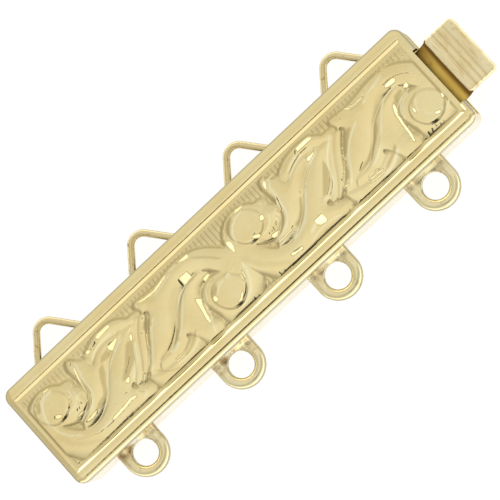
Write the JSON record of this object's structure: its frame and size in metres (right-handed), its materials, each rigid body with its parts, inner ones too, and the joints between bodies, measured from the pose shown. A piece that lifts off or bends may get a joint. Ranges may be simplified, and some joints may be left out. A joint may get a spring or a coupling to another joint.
{
  "type": "box clasp",
  "caption": "Multi-strand box clasp: scroll-ornamented case with soldered rings, and a folded spring tongue with wire loops and a ridged thumb plate.",
  "frame": {"origin": "centre of the case's flat back", "axes": "+X the way the tongue pulls out, +Y towards the row of wire loops, +Z out of the ornamented face"},
  "size_m": [0.0337, 0.0116, 0.0033],
  "materials": {
    "case_gold": "polished pale yellow gold over brass",
    "tongue_gold": "polished pale yellow gold over brass",
    "lever_gold": "bright pale yellow gold over brass, brushed along the finger grooves"
  },
  "bodies": {
    "case": {"case": "case_gold"},
    "tongue": {"tongue": "tongue_gold"},
    "lever": {"thumb_lever": "lever_gold"}
  },
  "joints": [
    {"name": "tongue_slide", "type": "slide", "parent": "case", "child": "tongue", "axis": [1, 0, 0], "range_m": [0, 0.031]},
    {"name": "lever_spring", "type": "hinge", "parent": "tongue", "child": "lever", "pos_m": [-0.01413, 0, 0.002], "axis": [0, -1, 0], "range_deg": [-1.2, 0.5], "stiffness_Nm_per_rad": 2}
  ]
}
